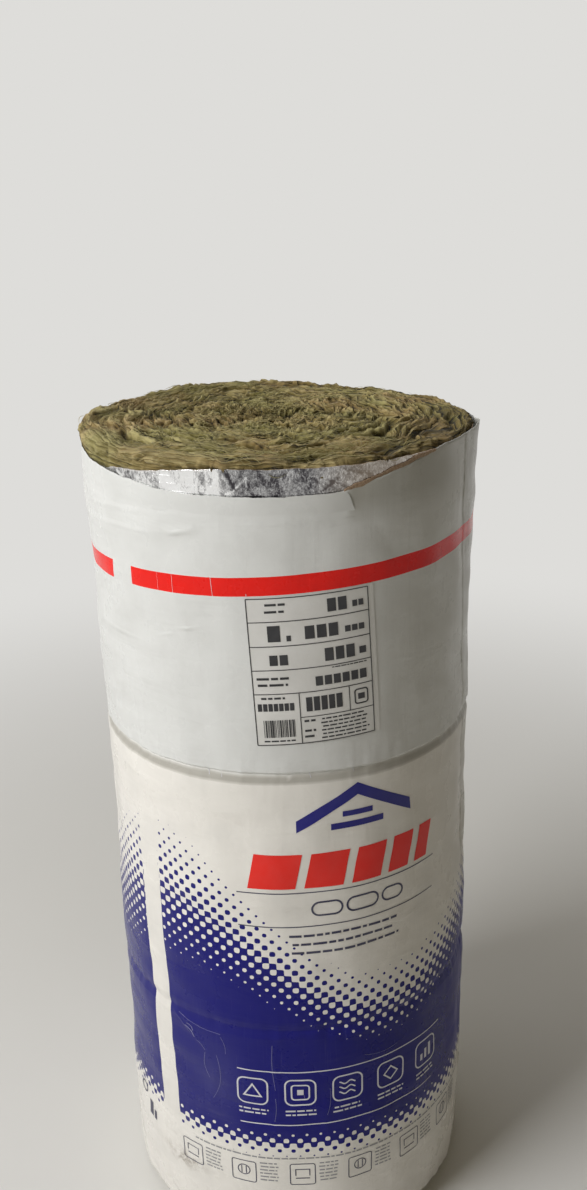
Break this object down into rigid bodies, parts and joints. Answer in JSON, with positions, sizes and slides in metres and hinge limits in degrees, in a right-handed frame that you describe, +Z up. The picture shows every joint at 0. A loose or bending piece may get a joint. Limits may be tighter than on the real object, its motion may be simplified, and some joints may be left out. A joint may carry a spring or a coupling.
{
  "type": "insulation roll pack",
  "caption": "Tall upright pack of mineral wool insulation rolls stacked on end in one printed film sleeve, cut open at the top to show the foil facing and the wound wool.",
  "frame": {"origin": "centre of the flat face that the pack stands on", "axes": "+Z up along the rolls' common axis, towards the cut-open end; -Y towards the side with the label"},
  "size_m": [0.463, 0.4637, 1.064],
  "materials": {
    "wool": "loose mineral fibre, olive green to yellow brown",
    "foil": "bright crinkled foil on kraft paper",
    "film": "white polyethylene film with red and blue print, half gloss",
    "label": "off-white sticker with black ruled print"
  },
  "bodies": {
    "root": {"roll_bottom": "wool", "roll_middle": "wool", "roll_top": "wool", "facing_bottom": "foil", "facing_middle": "foil", "facing_top": "foil", "film_sleeve": "film", "data_label": "label"}
  },
  "joints": []
}
